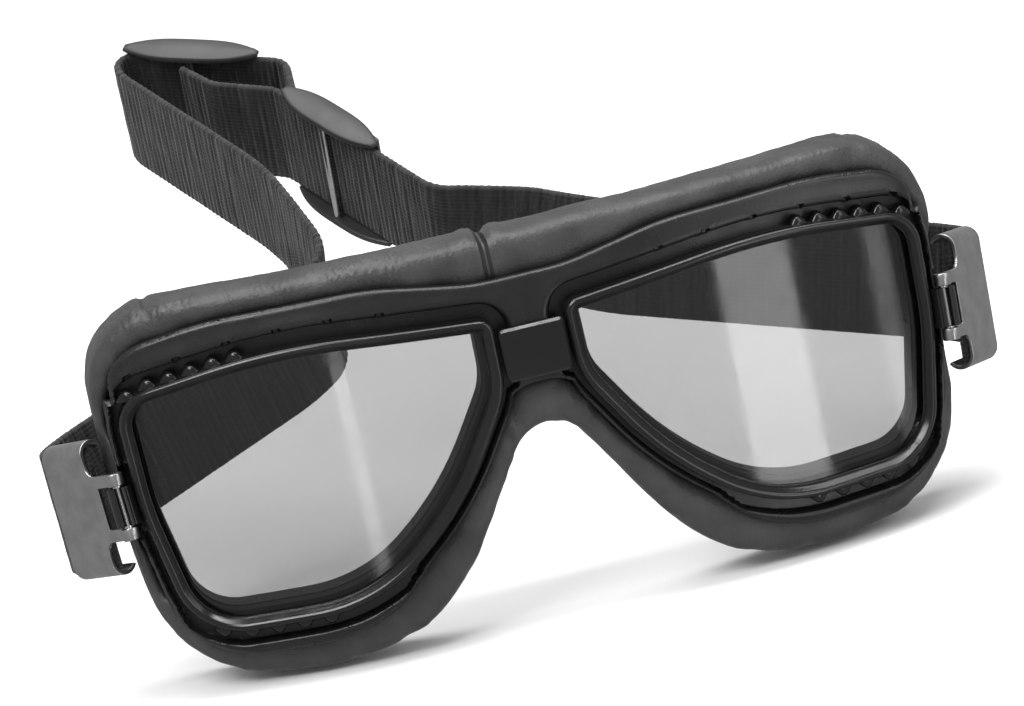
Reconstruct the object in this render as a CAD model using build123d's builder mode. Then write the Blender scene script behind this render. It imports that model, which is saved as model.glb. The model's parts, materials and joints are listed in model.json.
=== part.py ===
"""Motorcycle goggles: a two-eye frame with flat-fronted lenses, a padded face cushion, two hinged
strap clips and an elastic head strap with two sliding length adjusters.

Millimetres. +X is towards the wearer's left eye, which is on the right for someone facing the
goggles. -Y is the way the wearer looks, +Z is up. The origin is on the plane of symmetry, where the
front surface of the lens rims crosses it. Depths are measured back from that front surface.
"""
from build123d import *
from math import cos, radians, sin
import os

os.makedirs("parts", exist_ok=True)

# ---------------------------------------------------------------- driving dimensions
wrap_radius = 222.0         # the front wraps round the face on a vertical cylinder
face_radius = 170.0         # the cushion's face side follows a tighter cylinder
face_depth = 21.0           # front surface to face side, at the nose
far = 200.0                 # longer than any extrusion needs

rim_depth = 8.0             # front of the rim to the end of its wall
rim_lip = 2.7               # width of the rim's front band
rim_lip_thickness = 2.9
rim_wall = 1.3
lens_depth = 3.0
lens_thickness = 2.0
gap = 0.1                   # clearance between pieces that are clipped together

flange_depth = 2.0          # front of the frame's outer flange
shoulder_depth = 5.0        # floor of the vent channel, and back of the flange
frame_depth = 14.0
flange_overhang = 2.0       # the flange stands out past the frame's body
rim_surround = 1.9          # least thickness of the body round a rim
channel_width = 3.0         # the vent channel round each rim
ledge = 3.6                 # the ledge behind the lens reaches in this far from the rim's outside

vent_radius = 0.9
vent_pitch = 10.0
notch_width = 2.2
strip_depth = 14.1          # foam strips lie on the back of the frame, over the vent holes
strip_thickness = 1.8
strip_height = 3.2

stud_places = [(-2.3, 1), (2.3, 1)]     # the bridge plate's two studs
stud_radius = 1.2
stud_length = 2.0

cushion_front = 5.2         # the cushion wraps forwards round the frame to the back of the flange
pocket_depth = 16.0
skin = 1.5                  # cover material

bar_centre = (84.6, 17.5, -14.0)    # the hinge bar of the clip on the +X side
bar_radius = 0.9
saddle_radius = 2.3
saddle_mouth = 1.55         # the bar snaps through this opening
running_gap = 0.06
clip_angle = 56.0           # the plate leaves the bar at this angle from +X, seen from above
clip_hollow_radius = 14.0   # the cushion's side is hollowed this far round the hinge bar,
clip_hollow_start = 0.1     # from this far outside the bar's middle
lean_out = 3.0              # the hinge bar's top leans outwards
lean_back = 8.0             # and backwards
clip_reach = 23.0           # hinge bar to the plate's outer edge
clip_sheet = 0.8
plate_start = 12.0
plate_half_height = 14.0
arm_outer = 6.8             # the two arms, measured from the hinge bar's middle
arm_inner = 4.3
bar_half_length = arm_outer
recess_radius = 2.8
recess_turn = 13.0
recess_reach = 12.0
recess_half_height = arm_outer + 0.6
saddle_half_height = arm_inner - 0.4
lug_width = 1.3
lug_reach = 5.2
tooth_radius = 1.9
lip_radius = 2.6
strap_end_height = 21.6

strap_width = 25.0
strap_thickness = 1.6
strap_tilt = 28.0           # the strap loop rises towards the back
strap_origin = (0, 45, -15)

slider_length = 32.0
slider_thickness = 9.0
cap_thickness = 2.2
cap_gap = 0.5
post_offset = 12.0
post_behind = 1.9
pin_radius = 0.8
pin_forward = 1.9

# Corners of half outlines, each (x, z, rounding), for the +X half. A half outline runs from the plane
# of symmetry over the top to the outside, then back under the eye to the nose.
rim_corners = [(7.0, 9.0, 3), (50, 12.6, 120), (82, 7.5, 8), (81.6, -16, 60), (76.5, -43, 13),
               (40, -43, 35), (20, -26.5, 70), (7.2, -6, 16)]
frame_corners = [(9, 15.8, 40), (30, 19.3, 60), (62, 19.3, 80), (84.0, 15.3, 13), (84.2, -14, 60),
                 (80, -48.6, 19), (37.5, -48.6, 32), (4.5, -7.5, 7)]
cushion_corners = [(30, 23.9, 150), (86.5, 23.6, 18), (86.4, -12, 60), (81.6, -54.6, 24),
                   (29, -54.6, 34), (4.2, -15.2, 6)]


# ---------------------------------------------------------------- helpers
def both_sides(half):
    """A closed outline from its +X half."""
    return half + [(-x, z, rounding) for x, z, rounding in reversed(half)]


def mirrored(corners):
    """The same outline on the -X side."""
    return [(-x, z, rounding) for x, z, rounding in corners]


def face_outline(corners, grow=0.0):
    """Sketches an outline seen from the front, in front of the goggles, grown by an offset."""
    with BuildSketch(Plane.XZ.offset(20)) as sketch:
        with BuildLine():
            Polyline(*[(x, z) for x, z, rounding in corners], close=True)
        make_face()
        for x, z, rounding in corners:
            corner = sketch.vertices().sort_by_distance((x, z, 0))[0]
            fillet(corner, radius=rounding)
        if grow:
            offset(amount=grow, kind=Kind.INTERSECTION)
    return sketch.sketch


def layer(corners, grow, front, back):
    """A wrapped plate of one outline between two depths."""
    with BuildPart() as plate:
        extrude(face_outline(corners, grow), amount=-far)
        with BuildSketch(Plane.XY.offset(-far / 2)):
            with Locations((0, wrap_radius)):
                Circle(wrap_radius - front)
                Circle(wrap_radius - back, mode=Mode.SUBTRACT)
        extrude(amount=far, mode=Mode.INTERSECT)
    return plate.part


def frame_body(grow, front, back):
    """The frame behind its flange: a little inside the flange, but always outside the rims."""
    with BuildPart() as body:
        add(layer(both_sides(frame_corners), grow - flange_overhang, front, back))
        for eye in eyes:
            add(layer(eye, grow + rim_surround, front, back))
    return body.part


def write(part, name):
    """Labels a finished piece and writes it as its own file."""
    part.label = name
    export_step(part, f"parts/{name}.step")


def write_pair(part, name):
    """Writes a piece made on the +X side and its mirror image."""
    write(part, f"right_{name}")
    write(mirror(part, about=Plane.YZ), f"left_{name}")


eyes = [rim_corners, mirrored(rim_corners)]

# ---------------------------------------------------------------- hinge and clip directions
lean = Vector(sin(radians(lean_out)), sin(radians(lean_back)), 1).normalized()
outward = Vector(cos(radians(clip_angle)), sin(radians(clip_angle)), 0)
along_clip = (outward - lean * outward.dot(lean)).normalized()
hinge_plane = Plane(origin=bar_centre, x_dir=along_clip, z_dir=lean)
plate_plane = Plane(origin=bar_centre, x_dir=along_clip, z_dir=along_clip.cross(lean))

# ---------------------------------------------------------------- frame
top_vents = [(22 + vent_pitch * i, 13.0 - 0.2 * i) for i in range(6)]
bottom_vents = [(50 + 7 * i, -44.3) for i in range(3)]

with BuildPart() as frame:
    add(layer(both_sides(frame_corners), 0, flange_depth, shoulder_depth))
    add(frame_body(0, shoulder_depth, frame_depth))
    for eye in eyes:
        add(layer(eye, channel_width, 0, shoulder_depth), mode=Mode.SUBTRACT)
        add(layer(eye, gap, 0, rim_depth + gap), mode=Mode.SUBTRACT)
        add(layer(eye, -ledge, 0, frame_depth + 1), mode=Mode.SUBTRACT)
    # vent holes through the channel floor
    with BuildSketch(Plane.XZ.offset(20)):
        with Locations(*top_vents, *bottom_vents):
            Circle(vent_radius)
        with Locations(*[(-x, z) for x, z in top_vents + bottom_vents]):
            Circle(vent_radius)
    extrude(amount=-far, mode=Mode.SUBTRACT)
    # sockets for the bridge plate's two studs
    with BuildSketch(Plane.XZ.offset(20)):
        with Locations(*stud_places):
            Circle(stud_radius + gap)
    extrude(amount=-20 - flange_depth - stud_length - gap, mode=Mode.SUBTRACT)
    # air notches in the flange, above the channel
    with BuildSketch(Plane.XZ.offset(20)):
        for side in (1, -1):
            with Locations(*[(side * (x - 4), 15.6) for x, z in top_vents]):
                Rectangle(notch_width, 3.2)
    extrude(amount=-20 - shoulder_depth, mode=Mode.SUBTRACT)
    # a recess in each side for the clip, and the open saddle that its hinge bar snaps into
    with BuildSketch(hinge_plane.offset(-recess_half_height)):
        Circle(recess_radius)
        with Locations(Location((0, 0), -recess_turn)):
            with Locations((recess_reach / 2, 0)):
                Rectangle(recess_reach, 2 * recess_radius)
    recess = extrude(amount=2 * recess_half_height, mode=Mode.PRIVATE)
    with BuildSketch(hinge_plane.offset(-saddle_half_height)):
        with Locations(Location((0, 0), -clip_angle)):
            Circle(saddle_radius)
            # the lug that joins the saddle to the frame behind it
            with Locations((-saddle_radius + lug_width / 2 - 0.5, lug_reach / 2)):
                Rectangle(lug_width, lug_reach)
            with Locations((0, -saddle_radius)):
                Rectangle(saddle_mouth, 2 * saddle_radius, mode=Mode.SUBTRACT)
            Circle(bar_radius + running_gap, mode=Mode.SUBTRACT)
    saddle = extrude(amount=2 * saddle_half_height, mode=Mode.PRIVATE)
    add([recess, mirror(recess, about=Plane.YZ, mode=Mode.PRIVATE)], mode=Mode.SUBTRACT)
    add([saddle, mirror(saddle, about=Plane.YZ, mode=Mode.PRIVATE)])
write(frame.part, "frame")

# ---------------------------------------------------------------- one eye: rim, lens, gasket, vent strips
upper_teeth = [(58 + 4.4 * i, 10.4 - 0.08 * i * i) for i in range(5)]
lower_teeth = [(50 + 5.2 * i, -42.1 + 0.06 * i * i) for i in range(5)]

with BuildPart() as lens_rim:
    add(layer(rim_corners, 0, 0, rim_lip_thickness))
    add(layer(rim_corners, 0, rim_lip_thickness, rim_depth))
    add(layer(rim_corners, -rim_lip, -1, rim_lip_thickness), mode=Mode.SUBTRACT)
    add(layer(rim_corners, -rim_wall, rim_lip_thickness, rim_depth + 1), mode=Mode.SUBTRACT)
    # rounded teeth that stand out of the rim into the vent channel, above and below the outer end
    with BuildSketch(Plane.XZ.offset(20)):
        with Locations(*upper_teeth):
            Circle(tooth_radius)
        with Locations(*lower_teeth):
            Circle(tooth_radius)
    teeth = extrude(amount=-far, mode=Mode.PRIVATE)
    with BuildSketch(Plane.XY.offset(-far / 2)):
        with Locations((0, wrap_radius)):
            Circle(wrap_radius - 1.2)
            Circle(wrap_radius - 3.6, mode=Mode.SUBTRACT)
    teeth_layer = extrude(amount=far, mode=Mode.PRIVATE)
    add((teeth & teeth_layer) - layer(rim_corners, -0.6, 0, rim_depth))
write_pair(lens_rim.part, "lens_rim")

lens = layer(rim_corners, -rim_wall - gap, lens_depth, lens_depth + lens_thickness)
write_pair(lens, "lens")

with BuildPart() as gasket:
    gasket_front = lens_depth + lens_thickness + gap / 2
    add(layer(rim_corners, -rim_wall - gap, gasket_front, rim_depth))
    add(layer(rim_corners, -rim_lip - 0.6, 0, rim_depth + 1), mode=Mode.SUBTRACT)
write_pair(gasket.part, "lens_gasket")

strips = (("upper_vent_foam", 12.6, top_vents), ("lower_vent_foam", -44.0, bottom_vents))
for name, level, places in strips:
    middle = (places[0][0] + places[-1][0]) / 2
    length = places[-1][0] - places[0][0] + 3 * vent_radius + 2
    with BuildPart() as strip:
        with BuildSketch(Plane.XZ.offset(20)):
            with Locations((middle, level)):
                RectangleRounded(length, strip_height, 1.5)
        extrude(amount=-far)
        with BuildSketch(Plane.XY.offset(-far / 2)):
            with Locations((0, wrap_radius)):
                Circle(wrap_radius - strip_depth)
                Circle(wrap_radius - strip_depth - strip_thickness, mode=Mode.SUBTRACT)
        extrude(amount=far, mode=Mode.INTERSECT)
    write_pair(strip.part, name)

# ---------------------------------------------------------------- bridge plate between the rims
with BuildPart() as bridge_plate:
    with BuildSketch(Plane.XZ):
        with Locations((0, 1)):
            RectangleRounded(13.2, 10.6, 1.0)
    extrude(amount=-flange_depth)
    front_edges = bridge_plate.faces().sort_by(Axis.Y)[0].edges()
    chamfer(front_edges, length=0.5)
    # two studs that press into the frame
    with BuildSketch(Plane.XZ.offset(-flange_depth)):
        with Locations(*stud_places):
            Circle(stud_radius)
    extrude(amount=-stud_length)
write(bridge_plate.part, "bridge_plate")

# ---------------------------------------------------------------- face cushion: cover and foam filling
def padded_ring(corners, front, face_inset, eye_grow):
    """A ring round both eyes, from a wrapped front to the face side."""
    with BuildPart() as ring:
        add(layer(corners, face_inset, front, 60))
        with BuildSketch(Plane.XY.offset(-far / 2)):
            with Locations((0, face_depth + face_radius)):
                Circle(face_radius - face_inset)
        extrude(amount=far, mode=Mode.SUBTRACT)
        for eye in eyes:
            extrude(face_outline(eye, eye_grow), amount=-far, mode=Mode.SUBTRACT)
    return ring.part


cushion_outline = both_sides(cushion_corners)
with BuildPart() as cushion_foam:
    add(padded_ring(cushion_outline, pocket_depth + skin + gap, -skin - gap, skin + gap - 1))

with BuildPart() as cushion_cover:
    add(padded_ring(cushion_outline, cushion_front, 0, -1))
    add(frame_body(gap, 0, pocket_depth), mode=Mode.SUBTRACT)
    add(padded_ring(cushion_outline, pocket_depth + skin, -skin, skin - 1), mode=Mode.SUBTRACT)
    # a shallow hollow in each side, clear of the clip as it swings
    with BuildSketch(hinge_plane.offset(-plate_half_height - 1)):
        Circle(clip_hollow_radius)
        with Locations(Location((0, 0), -clip_angle)):
            with Locations((clip_hollow_radius + clip_hollow_start, 0)):
                Rectangle(2 * clip_hollow_radius, 4 * clip_hollow_radius, mode=Mode.INTERSECT)
    hollow = extrude(amount=2 * plate_half_height + 2, mode=Mode.PRIVATE)
    add([hollow, mirror(hollow, about=Plane.YZ, mode=Mode.PRIVATE)], mode=Mode.SUBTRACT)
write(cushion_foam.part, "cushion_foam")
write(cushion_cover.part, "cushion_cover")

# ---------------------------------------------------------------- clip: sheet plate, hinge bar, strap end
knuckle_radius = bar_radius + clip_sheet
arm_width = arm_outer - arm_inner

with BuildPart() as clip_plate:
    # flat sheet: a tall plate, and a window between two arms that reach to the hinge bar
    with BuildSketch(plate_plane.offset(-clip_sheet / 2)) as sheet:
        with Locations(((plate_start - 3 + clip_reach) / 2, 0)):
            Rectangle(clip_reach - plate_start + 3, 2 * plate_half_height - 6)
        with Locations((plate_start / 2, 0)):
            Rectangle(plate_start, 2 * arm_outer)
        with Locations((3.2, 0)):
            Rectangle(6.4, 2 * arm_inner, mode=Mode.SUBTRACT)
        hollows = sheet.vertices().filter_by_position(Axis.X, 8, 10).group_by(Axis.Y)
        fillet(hollows[1] + hollows[-2], radius=2.4)
    extrude(amount=clip_sheet)
    # knuckles curled round the ends of the bar
    for start in (-arm_outer, arm_inner):
        with BuildSketch(hinge_plane.offset(start)):
            Circle(knuckle_radius)
        extrude(amount=arm_width)
    with BuildSketch(hinge_plane.offset(-arm_outer - 1)):
        Circle(bar_radius + 0.02)
    extrude(amount=2 * arm_outer + 2, mode=Mode.SUBTRACT)
    # lips at the top and bottom that fold back over the strap's edges
    with BuildSketch(Plane(origin=plate_plane.origin + along_clip * (plate_start - 3),
                           x_dir=-plate_plane.z_dir, z_dir=along_clip)):
        with BuildLine():
            JernArc(start=(0, plate_half_height - 3), tangent=(0, 1), radius=lip_radius, arc_size=-150)
        trace(line_width=clip_sheet)
        mirror(about=Plane.XZ)
    extrude(amount=clip_reach - plate_start + 3)
write_pair(clip_plate.part, "clip_plate")

with BuildPart() as clip_bar:
    with BuildSketch(hinge_plane.offset(-bar_half_length)):
        Circle(bar_radius)
    extrude(amount=2 * bar_half_length)
write_pair(clip_bar.part, "clip_bar")

# the end of the strap, folded double inside the clip's plate
with BuildPart() as strap_end:
    with BuildSketch(plate_plane.offset(-clip_sheet / 2 - gap)):
        with Locations(((plate_start + clip_reach) / 2 - 1, 0)):
            Rectangle(clip_reach - plate_start, strap_end_height)
    extrude(amount=-2 * strap_thickness)
write_pair(strap_end.part, "strap_end")

# ---------------------------------------------------------------- head strap and its two adjusters
strap_plane = Plane(origin=strap_origin, x_dir=(1, 0, 0),
                    z_dir=(0, -sin(radians(strap_tilt)), cos(radians(strap_tilt))))


def strap_piece(corners, name):
    """A flat band standing on edge. Its centre line's corners are (across, back, rounding)."""
    with BuildPart() as band:
        with BuildSketch(strap_plane):
            with BuildLine() as path:
                Polyline(*[(across, back) for across, back, rounding in corners])
                for across, back, rounding in corners[1:-1]:
                    corner = path.vertices().sort_by_distance((across, back, 0))[0]
                    fillet(corner, radius=rounding)
            trace(line_width=strap_thickness)
        extrude(amount=strap_width / 2, both=True)
    write(band.part, name)


def along_slider(slider, distance, behind=0.0):
    """A point on a slider's line, measured from its middle."""
    across, back, heading = slider
    turn = radians(heading)
    return (across + distance * cos(turn) - behind * sin(turn),
            back + distance * sin(turn) + behind * cos(turn))


def slider_piece(slider, name):
    """Two lens-shaped caps over the strap's edges, joined by a post at each end, and a cross pin."""
    across, back, heading = slider
    slider_plane = Plane(origin=strap_plane.from_local_coords((across, back, 0)), z_dir=strap_plane.z_dir,
                         x_dir=strap_plane.from_local_coords(along_slider(slider, 1))
                         - strap_plane.from_local_coords((across, back, 0)))
    cap_start = strap_width / 2 + cap_gap
    half = slider_length / 2
    bulge = slider_thickness / 2
    with BuildPart() as body:
        with BuildSketch(slider_plane.offset(-cap_start - cap_thickness)) as cap:
            with BuildLine():
                ThreePointArc((-half, 0), (0, bulge), (half, 0))
                ThreePointArc((-half, 0), (0, -bulge), (half, 0))
            make_face()
            fillet(cap.vertices(), radius=1.2)
        extrude(amount=cap_thickness)
        mirror(about=slider_plane)
        with BuildSketch(slider_plane.offset(-cap_start - 0.5)):
            with Locations((-post_offset, post_behind), (post_offset, post_behind)):
                RectangleRounded(2.6, 1.0, 0.4)
        extrude(amount=2 * cap_start + 1)
        with BuildSketch(slider_plane.offset(-cap_start - 1)):
            with Locations((0, -pin_forward)):
                Circle(pin_radius + gap / 5)
        extrude(amount=2 * cap_start + 2, mode=Mode.SUBTRACT)
    write(body.part, name)
    with BuildPart() as pin:
        with BuildSketch(slider_plane.offset(-cap_start - 0.9)):
            with Locations((0, -pin_forward)):
                Circle(pin_radius)
        extrude(amount=2 * cap_start + 1.8)
    write(pin.part, f"{name}_pin")


rear_slider = (-46.5, 121.5, -25.8)     # across, back and heading in the strap plane
front_slider = (-22.0, 85.5, -61.5)

strap_piece([(-84, 12.3, 0), (-30, 43, 12), (-38.5, 75.7, 60), (*along_slider(rear_slider, -25.5), 4.2),
             (*along_slider(rear_slider, 22), 5), (*along_slider(front_slider, -15, 2.2), 0)],
            "left_strap")
strap_piece([(84, 12.3, 0), (14, 49, 30), (*along_slider(front_slider, 35), 9),
             (*along_slider(front_slider, -19), 5), (-44.0, 109.5, 8),
             (*along_slider(rear_slider, -1, -4.6), 0)], "right_strap")
slider_piece(rear_slider, "rear_slider")
slider_piece(front_slider, "front_slider")
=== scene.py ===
"""Motorcycle goggles: the looks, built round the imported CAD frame. Metres, in the row frame."""
import json
import math

import bmesh
import bpy
import numpy as np
from mathutils import Matrix, Vector, kdtree, noise
from mathutils.geometry import delaunay_2d_cdt


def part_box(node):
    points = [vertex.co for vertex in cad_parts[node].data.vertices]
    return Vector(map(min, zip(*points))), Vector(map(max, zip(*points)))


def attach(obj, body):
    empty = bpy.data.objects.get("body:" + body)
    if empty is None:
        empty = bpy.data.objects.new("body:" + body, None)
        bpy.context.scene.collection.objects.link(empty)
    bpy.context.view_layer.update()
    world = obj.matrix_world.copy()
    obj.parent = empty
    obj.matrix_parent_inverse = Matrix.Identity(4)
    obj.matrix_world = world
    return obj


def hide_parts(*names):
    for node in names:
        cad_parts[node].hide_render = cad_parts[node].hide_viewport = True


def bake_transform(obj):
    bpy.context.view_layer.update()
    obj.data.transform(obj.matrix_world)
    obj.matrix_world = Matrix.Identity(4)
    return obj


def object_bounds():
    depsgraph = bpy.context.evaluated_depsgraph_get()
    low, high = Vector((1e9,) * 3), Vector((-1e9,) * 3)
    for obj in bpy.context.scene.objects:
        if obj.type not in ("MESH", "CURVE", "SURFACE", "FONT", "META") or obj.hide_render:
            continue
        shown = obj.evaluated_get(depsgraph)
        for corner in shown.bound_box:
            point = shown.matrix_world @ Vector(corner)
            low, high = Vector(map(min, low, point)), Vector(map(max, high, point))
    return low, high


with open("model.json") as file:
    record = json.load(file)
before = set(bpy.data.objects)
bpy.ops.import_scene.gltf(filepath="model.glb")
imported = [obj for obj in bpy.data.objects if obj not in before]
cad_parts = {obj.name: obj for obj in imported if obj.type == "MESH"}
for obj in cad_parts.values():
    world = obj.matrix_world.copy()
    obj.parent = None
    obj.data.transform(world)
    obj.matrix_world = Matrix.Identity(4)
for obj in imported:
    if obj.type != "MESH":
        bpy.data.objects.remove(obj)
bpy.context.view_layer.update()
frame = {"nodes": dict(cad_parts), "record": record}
nodes = frame["nodes"]

MM = 0.001
WRAP_RADIUS = 222 * MM          # the front wraps round a vertical cylinder
CHANNEL_DEPTH = 4.6 * MM        # floor of the vent channel round each rim
FRAME_DEPTH = 14.0 * MM         # back of the frame
EYE_CENTRE = {"left": Vector((-46, -16)) * MM, "right": Vector((46, -16)) * MM}
EYE_POINTS = 420                # points in each loop round an eye
SEAM_X = -5.2 * MM              # where the cushion cover's centre seam crosses the brow
STRAP_WIDTH = 25 * MM
STRAP_THICKNESS = 1.6 * MM
RIB_PITCH = 1.5 * MM            # the webbing's cross ribs


# ------------------------------------------------------------------ small helpers
SAME_PLACE = 1e-6               # vertices closer than this are one vertex
SHARP = math.radians(40)        # edges that turn by more than this bound a CAD face
DEPTH_TOLERANCE = 0.15 * MM


def new_object(name, mesh):
    obj = bpy.data.objects.new(name, mesh)
    bpy.context.scene.collection.objects.link(obj)
    return obj


def object_from(bm, name):
    """A new object that takes over a finished bmesh."""
    mesh = bpy.data.meshes.new(name)
    bm.to_mesh(mesh)
    bm.free()
    return new_object(name, mesh)


def mesh_from(name, verts, faces):
    mesh = bpy.data.meshes.new(name)
    mesh.from_pydata([tuple(v) for v in verts], [], [tuple(f) for f in faces])
    mesh.validate()
    mesh.shade_smooth()
    return mesh


def depth_of(point):
    """How far a point lies behind the rims' front surface."""
    return WRAP_RADIUS - math.hypot(point[0], WRAP_RADIUS - point[1])


def wrapped(x, z, depth):
    """The point at a depth behind the rims' front surface, straight behind (x, z)."""
    radius = WRAP_RADIUS - depth
    return Vector((x, WRAP_RADIUS - math.sqrt(radius * radius - x * x), z))


def sharp_loops(node, depth):
    """The closed edge loops of a CAD node that lie at one depth, as arrays of (x, z), longest first."""
    bm = bmesh.new()
    bm.from_mesh(nodes[node].data)
    bmesh.ops.remove_doubles(bm, verts=bm.verts, dist=SAME_PLACE)
    links = {}
    for edge in bm.edges:
        if len(edge.link_faces) != 2 or edge.calc_face_angle(0) < SHARP:
            continue
        if all(abs(depth_of(v.co) - depth) < DEPTH_TOLERANCE for v in edge.verts):
            a, b = edge.verts
            links.setdefault(a.index, []).append(b.index)
            links.setdefault(b.index, []).append(a.index)
    bm.verts.ensure_lookup_table()
    loops, seen = [], set()
    for start in links:
        if start in seen:
            continue
        chain, here, before = [start], start, None
        seen.add(start)
        while True:
            ahead = [i for i in links[here] if i != before and (i not in seen or i == start)]
            ahead = [i for i in ahead if i not in seen] or ahead
            if not ahead or ahead[0] == start:
                break
            before, here = here, ahead[0]
            seen.add(here)
            chain.append(here)
        loops.append(np.array([(bm.verts[i].co.x, bm.verts[i].co.z) for i in chain]))
    bm.free()
    loops.sort(key=lambda pts: -loop_length(pts))
    return loops


def loop_length(points):
    return float(np.linalg.norm(np.roll(points, -1, 0) - points, axis=1).sum())


def evenly(points, count):
    """A closed loop resampled at equal steps, anticlockwise as seen from the front."""
    area = np.sum(points[:, 0] * np.roll(points[:, 1], -1) - np.roll(points[:, 0], -1) * points[:, 1])
    if area < 0:
        points = points[::-1]
    closed = np.vstack([points, points[:1]])
    steps = np.r_[0, np.cumsum(np.linalg.norm(np.diff(closed, axis=0), axis=1))]
    at = np.linspace(0, steps[-1], count, endpoint=False)
    return np.stack([np.interp(at, steps, closed[:, k]) for k in (0, 1)], 1)


def normals_of(loop):
    """Outward unit normals of an anticlockwise loop."""
    tangent = np.roll(loop, -1, 0) - np.roll(loop, 1, 0)
    tangent /= np.linalg.norm(tangent, axis=1)[:, None]
    return np.stack([tangent[:, 1], -tangent[:, 0]], 1)


def distance_to(loop, points):
    """Distance from points to the nearest vertex of a closed loop, once it is resampled finely."""
    points = np.atleast_2d(points)
    dense = evenly(loop, max(len(loop), 2400))
    tree = kdtree.KDTree(len(dense))
    for i, (x, z) in enumerate(dense):
        tree.insert((x, z, 0), i)
    tree.balance()
    return np.array([tree.find((x, z, 0))[2] for x, z in points])


def inside(loop, points):
    """Which points lie inside a closed loop."""
    points = np.atleast_2d(points)
    a, b = loop, np.roll(loop, -1, 0)
    found = np.zeros(len(points), bool)
    order = np.argsort(points[:, 1])
    height = points[order, 1]
    for (ax, az), (bx, bz) in zip(a, b):
        if az == bz:
            continue
        first, last = np.searchsorted(height, (min(az, bz), max(az, bz)), side="left")
        some = order[first:last]
        at = ax + (points[some, 1] - az) * (bx - ax) / (bz - az)
        found[some] ^= points[some, 0] < at
    return found


def grown(loop, amount, count=None):
    """A loop offset outwards by amount (inwards if negative), without folds."""
    dense = evenly(loop, max(len(loop), 900))
    moved = dense + normals_of(dense) * amount
    kept = moved[distance_to(dense, moved) > abs(amount) - 0.02 * MM]
    return evenly(kept, count or len(loop))


def polar(loop, centre, count=EYE_POINTS):
    """A loop round a centre resampled at equal angles, so that loops match point by point."""
    rel = evenly(loop, 2000) - np.array(centre)
    angle = np.unwrap(np.arctan2(rel[:, 1], rel[:, 0]))
    radius = np.linalg.norm(rel, axis=1)
    order = np.argsort(angle % (2 * math.pi))
    at = np.linspace(0, 2 * math.pi, count, endpoint=False)
    r = np.interp(at, (angle % (2 * math.pi))[order], radius[order], period=2 * math.pi)
    return np.stack([centre[0] + r * np.cos(at), centre[1] + r * np.sin(at)], 1)


def sweep_loops(loops):
    """Quads through a list of matching 3-D loops, and from the last loop back to the first."""
    count = len(loops[0])
    verts = [p for loop in loops for p in loop]
    faces = []
    for i in range(len(loops)):
        a, b = i * count, ((i + 1) % len(loops)) * count
        for k in range(count):
            n = (k + 1) % count
            faces.append((a + k, a + n, b + n, b + k))
    return verts, faces


def join_rings(bm, rings):
    """Quads between neighbouring closed rings of bmesh vertices."""
    for a, b in zip(rings, rings[1:]):
        for k in range(len(a)):
            n = (k + 1) % len(a)
            bm.faces.new((a[k], a[n], b[n], b[k]))


def fix_normals(obj):
    bm = bmesh.new()
    bm.from_mesh(obj.data)
    bmesh.ops.recalc_face_normals(bm, faces=bm.faces)
    bm.to_mesh(obj.data)
    bm.free()


# ------------------------------------------------------------------ materials
class Nodes:
    """A short way to write a node material."""

    def __init__(self, name):
        self.material = bpy.data.materials.new(name)
        self.material.use_nodes = True
        self.tree = self.material.node_tree
        self.bsdf = self.tree.nodes["Principled BSDF"]
        self.coords = self.tree.nodes.new("ShaderNodeTexCoord").outputs["Object"]

    def add(self, kind, **values):
        """A new node. Each value sets the input of its name or, if there is none, the node's property."""
        node = self.tree.nodes.new(kind)
        for key, value in values.items():
            if key in node.inputs:
                node.inputs[key].default_value = value
            else:
                setattr(node, key, value)
        return node

    def link(self, out, target):
        self.tree.links.new(out, target)

    def math(self, operation, first, second=None):
        """The result of a math node whose operands are sockets or numbers."""
        node = self.add("ShaderNodeMath", operation=operation)
        for socket, value in zip(node.inputs, (first, second)):
            if isinstance(value, bpy.types.NodeSocket):
                self.link(value, socket)
            elif value is not None:
                socket.default_value = value
        return node.outputs[0]

    def mapped(self, vector, kind, scale, **values):
        """A texture node on a vector that is scaled first."""
        mapping = self.add("ShaderNodeMapping", Scale=scale)
        self.link(vector, mapping.inputs["Vector"])
        node = self.add(kind, Scale=1.0, **values)
        self.link(mapping.outputs[0], node.inputs["Vector"])
        return node.outputs["Fac"]

    def noise(self, scale, detail=4.0, roughness=0.55, stretch=None):
        vector = self.coords
        if stretch:
            mapping = self.add("ShaderNodeMapping", Scale=stretch)
            self.link(vector, mapping.inputs["Vector"])
            vector = mapping.outputs[0]
        node = self.add("ShaderNodeTexNoise", Scale=scale, Detail=detail, Roughness=roughness)
        self.link(vector, node.inputs["Vector"])
        return node.outputs["Fac"]

    def cells(self, scale):
        node = self.add("ShaderNodeTexVoronoi", Scale=scale)
        self.link(self.coords, node.inputs["Vector"])
        return node.outputs["Distance"]

    def ramp(self, fac, low, high, start=0.3, end=0.7):
        node = self.add("ShaderNodeMapRange")
        self.link(fac, node.inputs["Value"])
        node.inputs["From Min"].default_value = start
        node.inputs["From Max"].default_value = end
        node.inputs["To Min"].default_value = low
        node.inputs["To Max"].default_value = high
        return node.outputs[0]

    def colour(self, fac, low, high, start=0.3, end=0.7):
        mix = self.add("ShaderNodeMix", data_type="RGBA")
        self.link(self.ramp(fac, 0, 1, start, end), mix.inputs["Factor"])
        mix.inputs["A"].default_value = (*low, 1)
        mix.inputs["B"].default_value = (*high, 1)
        self.link(mix.outputs["Result"], self.bsdf.inputs["Base Color"])

    def bump(self, height, distance, strength=1.0, onto=None):
        node = self.add("ShaderNodeBump", Strength=strength, Distance=distance)
        self.link(height, node.inputs["Height"])
        if onto:
            self.link(onto, node.inputs["Normal"])
        self.link(node.outputs[0], self.bsdf.inputs["Normal"])
        return node.outputs[0]

    def set(self, **values):
        for key, value in values.items():
            self.bsdf.inputs[key.replace("_", " ")].default_value = value


def grey(value, tint=0.0):
    return (value + tint, value, value)


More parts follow.
